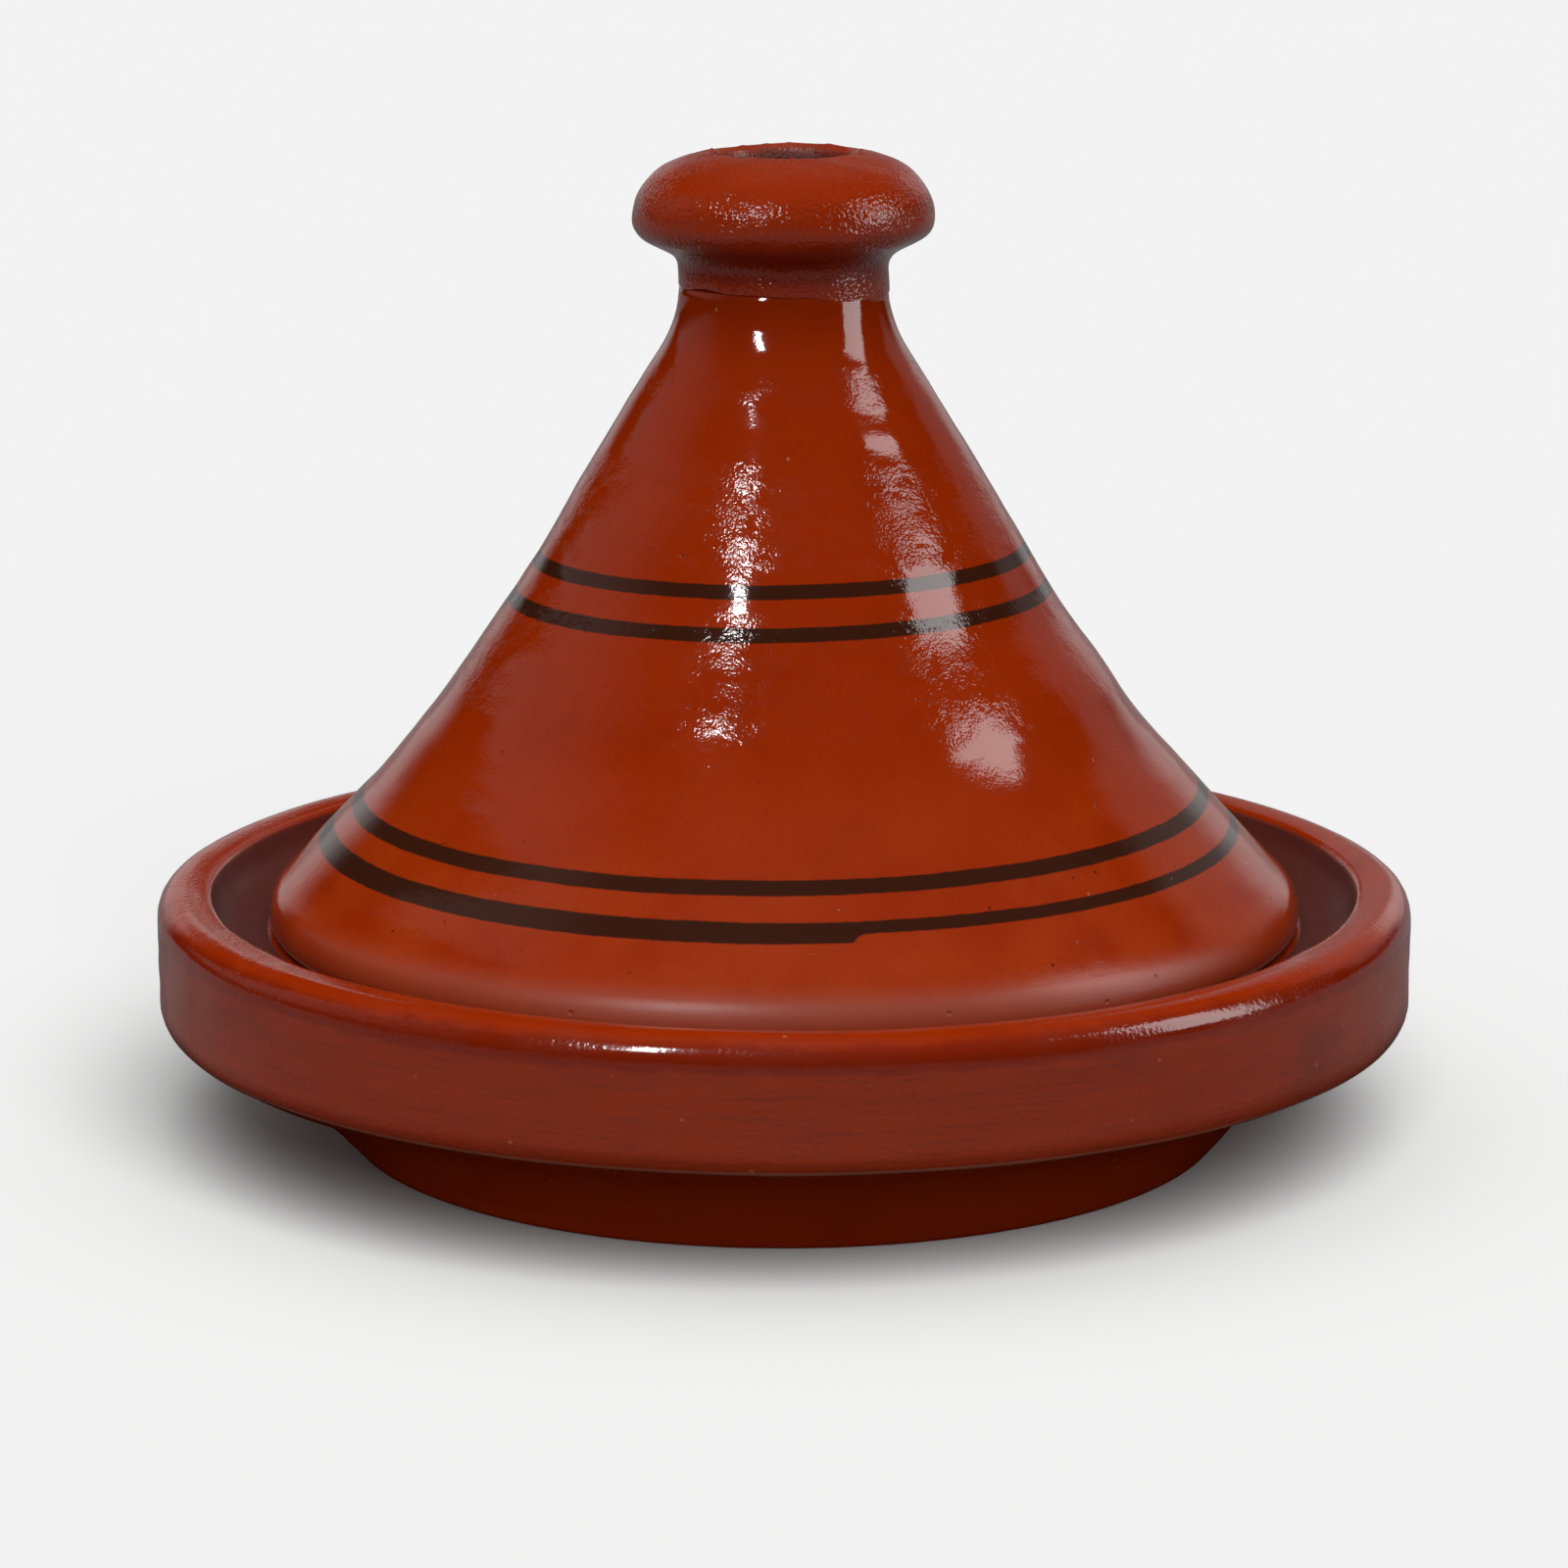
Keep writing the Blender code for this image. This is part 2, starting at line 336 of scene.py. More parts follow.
def dish_line():
    """Outline of the dish, from the middle of the bowl round to the underside."""
    bowl_floor = (BOWL_FLOOR_RADIUS, FLOOR_THICKNESS)
    bowl_edge = (LEDGE_INNER_RADIUS, ledge_height(LEDGE_INNER_RADIUS))
    rim_inner = (RIM_RADIUS - RIM_WIDTH, DISH_HEIGHT - RIM_FALL)
    rim_top = (RIM_RADIUS - RIM_ROUND, DISH_HEIGHT)
    rim_side = (RIM_RADIUS, DISH_HEIGHT - RIM_ROUND)
    band_edge = (RIM_RADIUS - BAND_UNDERCUT, DISH_HEIGHT - BAND_HEIGHT)
    band_turn = (RIM_RADIUS, band_edge[1] + BAND_TURN)
    gallery_foot = (GALLERY_RADIUS - GALLERY_FILLET, ledge_height(GALLERY_RADIUS - GALLERY_FILLET))
    return outline([
        (0.0, FLOOR_THICKNESS),
        bowl_floor,
        sweep(bowl_floor, BOWL_FLOOR_SLOPE, bowl_edge, BOWL_WALL_SLOPE, pull=0.42),
        gallery_foot,
        sweep(gallery_foot, LEDGE_SLOPE, rim_inner, GALLERY_LEAN, pull=0.40),
        rim_top,
        sweep(rim_top, 0.0, rim_side, -90.0, pull=0.39),
        band_turn,
        sweep(band_turn, -90.0, band_edge, UNDERCUT_SLOPE),
        sweep(band_edge, 180.0 + SHOULDER_SLOPE, (FOOT_RADIUS, 0.0), 180.0 + FOOT_SLOPE, pull=0.45),
        (0.0, 0.0),
    ], DISH_ROUNDING)


def underside_sag(turned, outside):
    """Sag between foot and band. Round the dish it falls off as the eighth power of cos(angle / 2)."""
    low = (turned.height < DISH_HEIGHT - BAND_HEIGHT - 0.001) & outside
    sag = UNDERSIDE_SAG * np.cos((turned.angle - SAG_SIDE) / 2) ** 8 * low
    return sag * ramp(turned.radius, *SAG_START) * (1 - ramp(turned.radius, *SAG_END))


def edge_bead(turned, outside):
    """Thin bead of glaze along the band's lower edge, with a bell-shaped section."""
    edge = turned.along[np.argmin(np.abs(turned.height - DISH_HEIGHT + BAND_HEIGHT) + ~outside)]
    return EDGE_BEAD * np.exp(-(((turned.along - edge) / EDGE_BEAD_WIDTH) ** 2))


def make_dish():
    """Dish with a thick rim, thrown a little out of true; its foot and ledge stay true."""
    turned = Turned(dish_line(), DISH_ROWS, COLUMNS)
    # The outside starts just inside the rim, 20 mm along the line before the widest point
    outside = turned.along > turned.along[np.argmax(turned.radius)] - 0.02
    above_foot = ramp(turned.height, 0.001, 0.006) * outside
    off_ledge = ramp(np.abs(turned.radius - (LID_RADIUS - EDGE_SETBACK)), 0.0095, 0.012)
    hand = waves(turned, 11, strength=0.00012, around=5, wavelength=0.03)
    hand = hand + waves(turned, 12, strength=0.00005, around=18, wavelength=0.012)
    hand = hand + throwing_rings(turned, 13, strength=0.00005, pitch=0.0072)
    outward = hand * off_ledge * np.where(outside, above_foot, 1.0)
    outward = outward + underside_sag(turned, outside) + edge_bead(turned, outside)
    lift = out_of_round(turned, 14, strength=0.00022) * ramp(turned.height, 0.03, 0.055)
    radius, height = turned.moved(outward, lift * off_ledge)
    radius = radius + out_of_round(turned, 15, strength=0.0002) * above_foot * off_ledge
    height = np.maximum(height, 0.0)
    bare = (turned.height < 0.0004) & (turned.radius < FOOT_RADIUS - 0.0015) & outside
    return solid("dish", turned, radius, height, bare.astype(float))


def cone_side():
    """Outer outline of the lid, from the seam down to the edge's shoulder."""
    neck = (NECK_RADIUS, CONE_TOP)
    flared = NECK_RADIUS + NECK_FLARE * math.tan(math.radians(TOP_ANGLE)) / 2
    cone_top = (flared, CONE_TOP - NECK_FLARE)
    shoulder = (LID_RADIUS - EDGE_SETBACK, CONE_FOOT + EDGE_HEIGHT)
    return np.vstack([
        neck,
        sweep(neck, -90.0, cone_top, TOP_ANGLE - 90.0),
        sweep(cone_top, TOP_ANGLE - 90.0, shoulder, BOTTOM_ANGLE - 90.0, pull=CONE_PULL),
    ])


def cone_line():
    """Outline of the lid's cone, down its outer side and up its hollow.

    The hollow is the outer side moved inwards by the wall's thickness, at
    right angles to it.
    """
    side = cone_side()
    slope = np.gradient(side, axis=0)
    slope /= np.hypot(*slope.T)[:, None]
    hollow = side + LID_WALL * slope[:, ::-1] * np.array([1.0, -1.0])
    hollow = hollow[hollow[:, 1] < CONE_TOP - CROWN_THICKNESS - LID_WALL]
    edge_side = (LID_RADIUS, CONE_FOOT + EDGE_HEIGHT / 3)
    seat = (LID_RADIUS - EDGE_SETBACK, CONE_FOOT)
    seat_inner = (seat[0] - SEAT_WIDTH, CONE_LOW.z)
    return outline([
        (0.0, CONE_TOP),
        side,
        sweep(side[-1], BOTTOM_ANGLE - 90.0, edge_side, -90.0),
        sweep(edge_side, -90.0, seat, -180.0),
        seat_inner,
        hollow[::-1],
        sweep(hollow[0], 90.0 + TOP_ANGLE, (0.0, CONE_TOP - CROWN_THICKNESS), 180.0),
    ], CONE_ROUNDING)


def make_cone():
    """Conical lid with slow swellings, finger rings and a wheel-thrown hollow."""
    turned = Turned(cone_line(), CONE_ROWS, COLUMNS)
    edge = turned.along[np.argmax(turned.radius)]
    outside = 1 - ramp(turned.along, edge - 0.012, edge - 0.004)
    free = ramp(turned.height, CONE_FOOT + 0.004, CONE_FOOT + 0.016)
    swell = SWELL_HEIGHT * np.cos(2 * np.pi * (turned.along - SWELL_CREST) / SWELL_PITCH)
    hand = waves(turned, 21, strength=0.00018, around=4, wavelength=0.045)
    hand = hand + waves(turned, 22, strength=0.00004, around=14, wavelength=0.014)
    hand = hand + throwing_rings(turned, 23, strength=0.00002, pitch=0.0086)
    hand = hand + swell * ramp(turned.along, 0.03, 0.06)
    hollow = throwing_rings(turned, 24, strength=0.00025, pitch=0.0105)
    hollow = hollow + waves(turned, 25, strength=0.00015, around=5, wavelength=0.03)
    outward = free * (outside * hand + (1 - outside) * hollow)
    radius, height = turned.moved(outward, widen=out_of_round(turned, 26, strength=0.003) * free)
    return solid("cone", turned, radius, height, ramp(turned.along, edge + 0.001, edge + 0.003))


def knob_line():
    """Outline of the knob, up its well, over the lip and belly and in at the throat to the neck."""
    well_floor = KNOB_TOP - WELL_DEPTH
    well_side = (WELL_BOTTOM_RADIUS, well_floor + LIP_WIDTH)
    well_top = (WELL_RADIUS, KNOB_TOP - LIP_WIDTH)
    lip = (WELL_RADIUS + LIP_WIDTH, KNOB_TOP)
    belly = (KNOB_RADIUS, SEAM + KNOB_BELLY)
    flare = (THROAT_END[0], SEAM + THROAT_END[1])
    throat = (THROAT_START[0], SEAM + THROAT_START[1])
    return outline([
        (0.0, well_floor),
        (WELL_BOTTOM_RADIUS - LIP_WIDTH, well_floor),
        well_side,
        well_top,
        sweep(well_top, 90.0, lip, 0.0),
        sweep(lip, -KNOB_TOP_SLOPE, belly, -90.0, pull=0.384),
        sweep(belly, -90.0, flare, 180.0 + THROAT_SLOPE, pull=0.40),
        sweep(flare, 180.0 + THROAT_SLOPE, throat, -90.0, pull=0.40),
        (NECK_RADIUS, SEAM),
        (0.0, SEAM),
    ], KNOB_ROUNDING)


def skirt_drop(angle):
    """How far the smeared clay hangs below the seam: far at the right and hardly at the left.

    A ramp of the angle's sine is scaled by its cosine, and two short waves
    make the edge ragged.
    """
    slant = ramp(np.sin(angle), -0.15, 0.75) * (0.6 + 0.4 * np.cos(angle - 0.5))
    ragged = 0.12 * np.cos(5 * angle + 1.0) + 0.07 * np.cos(11 * angle)
    return SKIRT_DROP * (0.14 + 0.86 * slant + ragged)


def make_knob():
    """Cup-shaped knob with a rough lip, and its clay smeared down over the seam."""
    turned = Turned(knob_line(), KNOB_ROWS, KNOB_COLUMNS, bend_share=0.003)
    lip = turned.along[np.argmax(turned.height)]
    foot = turned.along[np.argmin(np.abs(turned.height - SEAM - 0.0006) + (turned.along < lip + 0.02))]
    neck = ramp(turned.along, foot - 0.0035, foot - 0.0005)
    hand = waves(turned, 31, strength=0.00016, around=4, wavelength=0.03)
    hand = hand + waves(turned, 32, strength=0.00006, around=16, wavelength=0.008)
    place = lip - 0.0006
    hand = hand + crumbs(turned, 33, count=26, place=place, spread=0.0009, size=0.0005, height=0.0003)
    radius, height = turned.moved(hand * (1 - neck))
    height = height - skirt_drop(turned.angle) * neck * (turned.radius > NECK_RADIUS - 0.0008)
    side = cone_side()
    around_cone = np.interp(-height, -side[:, 1], side[:, 0])
    proud = np.maximum(around_cone - NECK_RADIUS, 0.0) + SKIRT_SKIN
    radius = radius + proud * ramp(turned.along, foot - 0.006, foot - 0.001) * (turned.radius > 0.02)
    return solid("knob", turned, radius, height, 0.0)


# Shader nodes ------------------------------------------------------------------

def socket_of(sockets, name):
    """The socket with that number, identifier or name."""
    if isinstance(name, int):
        return sockets[name]
    return next(socket for socket in sockets if name in (socket.identifier, socket.name))


class Nodes:
    """A node tree being laid out, one node at a time."""

    def __init__(self, tree):
        self.tree = tree
        tree.nodes.clear()

    def add(self, kind, settings=None, inputs=None, output=0):
        """Adds a node, makes its settings first and then its inputs, and gives one of its outputs."""
        node = self.tree.nodes.new(kind)
        for name, value in (settings or {}).items():
            setattr(node, name, value)
        for name, value in (inputs or {}).items():
            socket = socket_of(node.inputs, name)
            if isinstance(value, Value):
                self.tree.links.new(value.socket, socket)
            else:
                socket.default_value = value
        return Value(self, socket_of(node.outputs, output) if len(node.outputs) else None)


class Value:
    """An output socket. Arithmetic on it adds Math nodes."""

    def __init__(self, nodes, socket):
        self.nodes = nodes
        self.socket = socket

    def math(self, operation, *values):
        """A Math node's answer for the given values, which may be sockets or numbers."""
        return self.nodes.add("ShaderNodeMath", {"operation": operation}, dict(enumerate(values)))

    def __add__(self, other):
        return self.math("ADD", self, other)

    __radd__ = __add__

    def __mul__(self, other):
        return self.math("MULTIPLY", self, other)

    __rmul__ = __mul__

    def __sub__(self, other):
        return self.math("SUBTRACT", self, other)

    def __rsub__(self, other):
        return self.math("SUBTRACT", other, self)

    def __neg__(self):
        return self.math("SUBTRACT", 0.0, self)

    def __lt__(self, other):
        return self.math("LESS_THAN", self, other)

    def part(self, axis):
        """One of a vector's three numbers."""
        return self.nodes.add("ShaderNodeSeparateXYZ", {}, {0: self}, "XYZ".index(axis))

    def larger(self, other):
        """The larger of two values."""
        return self.math("MAXIMUM", self, other)

    def step(self, low, high):
        """0 below low, 1 above high, and a smooth S-curve between them."""
        settings = {"interpolation_type": "SMOOTHSTEP"}
        return self.nodes.add("ShaderNodeMapRange", settings,
                              {"Value": self, "From Min": low, "From Max": high})

    def between(self, low, high, soft):
        """1 from low to high, with soft edges that reach as far outside as inside."""
        return self.step(low - soft, low + soft) * (1 - self.step(high - soft, high + soft))

    def times(self, scale):
        """A vector with its three numbers multiplied by those of scale."""
        return self.nodes.add("ShaderNodeVectorMath", {"operation": "MULTIPLY"}, {0: self, 1: scale})

    def toned(self, factor, colour):
        """A colour mixed with another one, which is a value or red, green and blue."""
        colour = colour if isinstance(colour, Value) else (*colour, 1.0)
        return self.nodes.add("ShaderNodeMix", {"data_type": "RGBA", "clamp_factor": True},
                              {"Factor_Float": factor, "A_Color": self, "B_Color": colour}, "Result_Color")


def plain(nodes, colour):
    """One colour as a value that can be toned."""
    value = nodes.add("ShaderNodeRGB")
    value.socket.default_value = (*colour, 1.0)
    return value


def noise(place, size, detail=2.0, rough=0.5):
    """Soft noise round 0.5, with lumps about size metres across."""
    inputs = {"Vector": place, "Scale": 1.0 / size, "Detail": detail, "Roughness": rough}
    return place.nodes.add("ShaderNodeTexNoise", {}, inputs, "Fac")


def spots(place, spacing, share, low, high):
    """Round spots: 1 nearer than low to a scattered point and 0 beyond high, in a share of the cells."""
    settings = {"feature": "F1"}
    inputs = {"Vector": place, "Scale": 1.0 / spacing}
    near = place.nodes.add("ShaderNodeTexVoronoi", settings, inputs, "Distance")
    chance = place.nodes.add("ShaderNodeTexVoronoi", settings, inputs, "Color").part("X")
    return (1 - near.step(low, high)) * (chance < share)


def from_axis(place):
    """Distance from the vertical axis: the square root of x squared plus y squared."""
    x, y = place.part("X"), place.part("Y")
    return place.math("POWER", x * x + y * y, 0.5)


def turn_from_front(place):
    """Angle round the axis in radians, from the front towards the right."""
    return place.math("ARCTAN2", place.part("X"), -place.part("Y"))


def raised(nodes, height, depth, normal=None):
    """Bump that lifts the surface by depth metres where height is 1, on top of another bump."""
    inputs = {"Height": height, "Distance": depth, "Strength": 1.0}
    if normal is not None:
        inputs["Normal"] = normal
    return nodes.add("ShaderNodeBump", {}, inputs)


# Finishes ----------------------------------------------------------------------
GLAZE_IOR = 1.5
GLAZE_RED = (0.340, 0.0250, 0.0004)
GLAZE_DEEP = (0.240, 0.0140, 0.0003)
GLAZE_PALE = (0.420, 0.0460, 0.0050)
GLAZE_SPECK = (0.120, 0.0100, 0.0020)
# Painted shade: dark red laid in the groove between the lid and the rim
GALLERY_PAINTED_SHADE = (0.110, 0.0080, 0.0020)
# Painted shade: dark red laid inside the knob's well
WELL_PAINTED_SHADE = (0.130, 0.0080, 0.0020)
BAND_STREAK = (0.150, 0.0200, 0.0120)
BAND_SMUDGE = (0.110, 0.0180, 0.0160)
# Painted highlight: a pale line along the band's lower edge
EDGE_PAINTED_HIGHLIGHT = (0.420, 0.180, 0.120)
LINE_PAINT = (0.034, 0.0110, 0.0050)
CLAY = (0.480, 0.165, 0.080)
CLAY_DUST = (0.600, 0.290, 0.170)
CLAY_MARK = (0.330, 0.100, 0.050)
CLAY_GRAIN = (0.220, 0.070, 0.040)
CLAY_ROUGHNESS = 0.85

# Painted lines: the rise towards the right of each, then its lower and upper edge
LINES = (
    (0.0166, 0.1408, 0.1439),
    (0.0166, 0.1318, 0.1349),
    (0.0100, 0.0816, 0.0846),
)
LOWEST_RISE = 0.0040
LOWEST_LOW, LOWEST_HIGH = 0.0742, 0.0766
THICK_STROKE = 0.0016
STROKE_START = 0.165
STROKE_FADE = (1.9, 3.6)
LINE_SOFT = 0.00018

# Pebbled glaze on the lid: from which height, to which height and how strongly
ROUGH_BANDS = ((0.1110, 0.1375, 0.7), (0.1455, 0.1685, 1.0), (0.1825, 0.1880, 0.8))
# Below them it is faintly pebbled: where that starts to fade, where it ends and how strongly
FAINTLY_ROUGH = (0.100, 0.112, 0.12)


def start_finish(name):
    """An empty material, its nodes and the place of a point on the piece."""
    material = bpy.data.materials.new(name)
    material.use_nodes = True
    nodes = Nodes(material.node_tree)
    place = nodes.add("ShaderNodeTexCoord", {}, {}, "Object")
    return material, nodes, place


def finish_with(nodes, colour, roughness, normal):
    """The shader and the material's output."""
    shader = nodes.add("ShaderNodeBsdfPrincipled", {}, {
        "Base Color": colour, "Roughness": roughness, "Normal": normal, "IOR": GLAZE_IOR})
    nodes.add("ShaderNodeOutputMaterial", {}, {"Surface": shader})


def glaze_colour(nodes, place, pale):
    """Red-brown glaze: cloudy where it lies thick or thin, with fine grain from the clay under it."""
    cloud = noise(place, 0.030, detail=4.0, rough=0.6)
    grain = noise(place, 0.0011, detail=2.0, rough=0.7)
    colour = plain(nodes, GLAZE_RED)
    colour = colour.toned(cloud.step(0.52, 0.78) * 0.45, GLAZE_DEEP)
    colour = colour.toned(pale, GLAZE_PALE)
    return colour.toned(grain.step(0.45, 0.8) * 0.35, GLAZE_DEEP)


def bare_clay(nodes, place):
    """Unglazed fired clay: pale orange with sandy grains and darker wheel marks."""
    colour = plain(nodes, CLAY)
    colour = colour.toned(noise(place, 0.02, detail=3.0).step(0.35, 0.75) * 0.6, CLAY_DUST)
    marks = noise(place.times((4.0, 4.0, 60.0)), 0.06, detail=3.0)
    colour = colour.toned(marks.step(0.5, 0.8) * 0.35, CLAY_MARK)
    return colour.toned(spots(place, 0.0022, share=0.3, low=0.15, high=0.3) * 0.5, CLAY_GRAIN)


def unglazed(nodes, place, colour, roughness):
    """Colour and roughness with bare clay where the piece is bare, the glaze's edge wandering."""
    bare = nodes.add("ShaderNodeAttribute", {"attribute_name": "bare"}, {}, "Fac")
    bare = (bare + (noise(place, 0.006) - 0.5) * 0.5).step(0.45, 0.55)
    colour = colour.toned(bare, bare_clay(nodes, place))
    return colour, roughness + bare * (CLAY_ROUGHNESS - roughness)


def lowest_line(place, drawn):
    """The lowest line, whose lower edge begins with a thick blunt stroke that thins out round the lid."""
    ragged = (noise(place, 0.0015) - 0.5) * 0.02
    stroke = STROKE_START - turn_from_front(place) + ragged
    back = stroke.math("FLOORED_MODULO", stroke, 2 * math.pi)
    thick = (1 - back.step(*STROKE_FADE)) * back.step(0.0, 0.035)
    bottom = LOWEST_LOW - THICK_STROKE * thick
    level = drawn - LOWEST_RISE * place.part("X")
    above = (level - bottom).step(-LINE_SOFT, LINE_SOFT)
    return above * (1 - level.step(LOWEST_HIGH - LINE_SOFT, LOWEST_HIGH + LINE_SOFT))


def painted_lines(place):
    """Four dark lines painted round the lid by hand, rising to the right."""
    drawn = place.part("Z") + (noise(place, 0.03) - 0.5) * 0.0005 + (noise(place, 0.003) - 0.5) * 0.0003
    painted = lowest_line(place, drawn)
    for rise, low, high in LINES:
        line = (drawn - rise * place.part("X")).between(low, high, LINE_SOFT)
        painted = painted.larger(line)
    return painted


def rough_bands(place, z):
    """1 where the glaze is pebbled: in three ragged bands round the lid, broken up by clouds."""
    level = z + (noise(place.times((1.0, 1.0, 2.0)), 0.012, detail=3.0, rough=0.6) - 0.5) * 0.016
    fades, ends, faint = FAINTLY_ROUGH
    bands = (1 - level.step(fades, ends)) * faint
    for low, high, strength in ROUGH_BANDS:
        bands = bands + level.between(low, high, 0.0020) * strength
    return bands * noise(place, 0.0045, detail=3.0, rough=0.6).step(0.36, 0.60)


def lid_surface(nodes, place, peel):
    """Slow swellings of the glaze, pebbles where it is rough, and a few pinholes."""
    swelling = noise(place.times((1.0, 1.0, 1.8)), 0.0052, detail=1.0)
    normal = raised(nodes, swelling, depth=0.00004)
    pebbles = noise(place, 0.0007, detail=1.0) * (0.12 + 0.88 * peel)
    normal = raised(nodes, pebbles, depth=0.00011, normal=normal)
    pinholes = spots(place, 0.0060, share=0.16, low=0.05, high=0.12)
    return raised(nodes, 1 - pinholes, depth=0.00025, normal=normal)


def lid_glaze():
    """Glossy glaze over painted lines, paler low on the cone, and dull at its front edge, which is painted
    paler there as painted light.
    """
    material, nodes, place = start_finish("lid_glaze")
    z = place.part("Z")
    low = 1 - z.step(0.070, 0.120)
    cloud = noise(place, 0.018, detail=3.0)
    # Painted light: the front edge, where it turns down, is painted paler; the same mask also makes the
    # glaze duller there
    front_edge_dull_and_lit = (1 - z.step(0.0590, 0.0660)) * (-place.part("Y")).step(0.030, 0.080)
    peel = rough_bands(place, z)
    colour = glaze_colour(nodes, place, low * cloud.step(0.25, 0.7) * 0.55)
    colour = colour.toned(spots(place, 0.0050, share=0.25, low=0.05, high=0.12) * low, GLAZE_SPECK)
    colour = colour.toned(spots(place, 0.0085, share=0.22, low=0.03, high=0.07) * 0.35, CLAY_DUST)
    # Painted light lifts the colour of the front edge
    colour = colour.toned(front_edge_dull_and_lit * 0.7, GLAZE_PALE)
    colour = colour.toned(painted_lines(place) * 0.96, LINE_PAINT)
    roughness = 0.07 + 0.05 * peel + 0.05 * low + 0.33 * front_edge_dull_and_lit
    colour, roughness = unglazed(nodes, place, colour, roughness)
    finish_with(nodes, colour, roughness, lid_surface(nodes, place, peel))
    return material


def knob_glaze():
    """Duller glaze on the knob, pebbled all over, with painted shade in the well and in the throat under
    the flare.
    """
    material, nodes, place = start_finish("knob_glaze")
    z = place.part("Z")
    top = z.step(SEAM + 0.024, KNOB_TOP)
    # Painted shade: a dark band in the throat, under the knob's flare
    throat_shade = z.between(SEAM + 0.0022, SEAM + 0.0080, 0.0012)
    well = 1 - from_axis(place).step(WELL_RADIUS - 0.0006, WELL_RADIUS + 0.0008)
    well = well * (1 - z.step(KNOB_TOP - 0.003, KNOB_TOP))
    cloud = noise(place.times((1.0, 1.0, 2.0)), 0.012, detail=3.0)
    colour = glaze_colour(nodes, place, top * cloud.step(0.3, 0.7) * 0.4)
    colour = colour.toned(throat_shade * 0.95, GLAZE_DEEP)
    # Painted shade darkens the inside of the well
    colour = colour.toned(well * 0.9, WELL_PAINTED_SHADE)
    normal = raised(nodes, noise(place, 0.0045, detail=1.0), depth=0.00003)
    normal = raised(nodes, noise(place, 0.0009, detail=1.0), depth=0.00034, normal=normal)
    finish_with(nodes, colour, 0.11 + 0.20 * top + 0.40 * well, normal)
    return material


def on_band(z, reach):
    """1 on the upright band round the dish."""
    band = z.between(DISH_HEIGHT - BAND_HEIGHT, DISH_HEIGHT - RIM_ROUND, 0.0012)
    return band * reach.step(GALLERY_RADIUS + 0.012, GALLERY_RADIUS + 0.016)


def in_gallery(z, reach):
    """1 in the groove between the lid and the rim, where the glaze is dull and painted with shade."""
    gallery = reach.between(GALLERY_RADIUS - 0.006, RIM_RADIUS - RIM_WIDTH + 0.0003, 0.0005)
    return gallery * z.step(0.040, 0.045) * (1 - z.step(DISH_HEIGHT - 0.0022, DISH_HEIGHT - 0.0008))


def on_rounding(place, z, reach):
    """1 on the rim's outer rounding, with a ragged edge."""
    ragged = z + (noise(place, 0.009, detail=3.0) - 0.5) * 0.003
    rounding = ragged.between(DISH_HEIGHT - RIM_ROUND - 0.001, DISH_HEIGHT - 0.0018, 0.0010)
    return rounding * reach.step(RIM_RADIUS - 0.006, RIM_RADIUS - 0.004)


def on_edge_highlight(z, reach):
    """1 along the band's lower edge, where a pale highlight is painted on."""
    edge = DISH_HEIGHT - BAND_HEIGHT
    burr = z.between(edge - 0.0004, edge + 0.0006, 0.0003)
    return burr * reach.step(RIM_RADIUS - 0.005, RIM_RADIUS - 0.003)


def dish_glaze():
    """Glaze on the dish: shiny on the rim, satin and streaked on the band, dull and darkened with painted
    shade in the gallery, with a painted highlight along the band's lower edge.
    """
    material, nodes, place = start_finish("dish_glaze")
    z, reach = place.part("Z"), from_axis(place)
    band, gallery = on_band(z, reach), in_gallery(z, reach)
    streaks = noise(place.times((5.0, 5.0, 130.0)), 0.12, detail=4.0, rough=0.65)
    smudge = noise(place.times((1.0, 1.0, 2.2)), 0.034, detail=3.0)
    peel = noise(place, 0.020, detail=2.0).step(0.4, 0.65)
    colour = glaze_colour(nodes, place, band * 0.20)
    colour = colour.toned(band * streaks.step(0.45, 0.75) * 0.45, BAND_STREAK)
    colour = colour.toned(band * smudge.step(0.55, 0.75) * 0.30, BAND_SMUDGE)
    colour = colour.toned(spots(place, 0.0075, share=0.2, low=0.04, high=0.09) * 0.30, CLAY_DUST)
    # Painted shade darkens the groove between the lid and the rim
    colour = colour.toned(gallery * 0.85, GALLERY_PAINTED_SHADE)
    colour = colour.toned(on_rounding(place, z, reach) * 0.95, GLAZE_DEEP)
    # Painted highlight along the band's lower edge
    colour = colour.toned(on_edge_highlight(z, reach) * 0.55, EDGE_PAINTED_HIGHLIGHT)
    roughness = 0.12 + 0.14 * band + 0.06 * peel + 0.40 * gallery
    colour, roughness = unglazed(nodes, place, colour, roughness)
    normal = raised(nodes, noise(place, 0.0060, detail=1.0) * (1 - gallery), depth=0.00003)
    pebbles = noise(place, 0.0011, detail=1.0) * (0.2 + 0.8 * peel) * (1 - gallery)
    normal = raised(nodes, pebbles, depth=0.00014, normal=normal)
    normal = raised(nodes, streaks * band, depth=0.00004, normal=normal)
    finish_with(nodes, colour, roughness, normal)
    return material


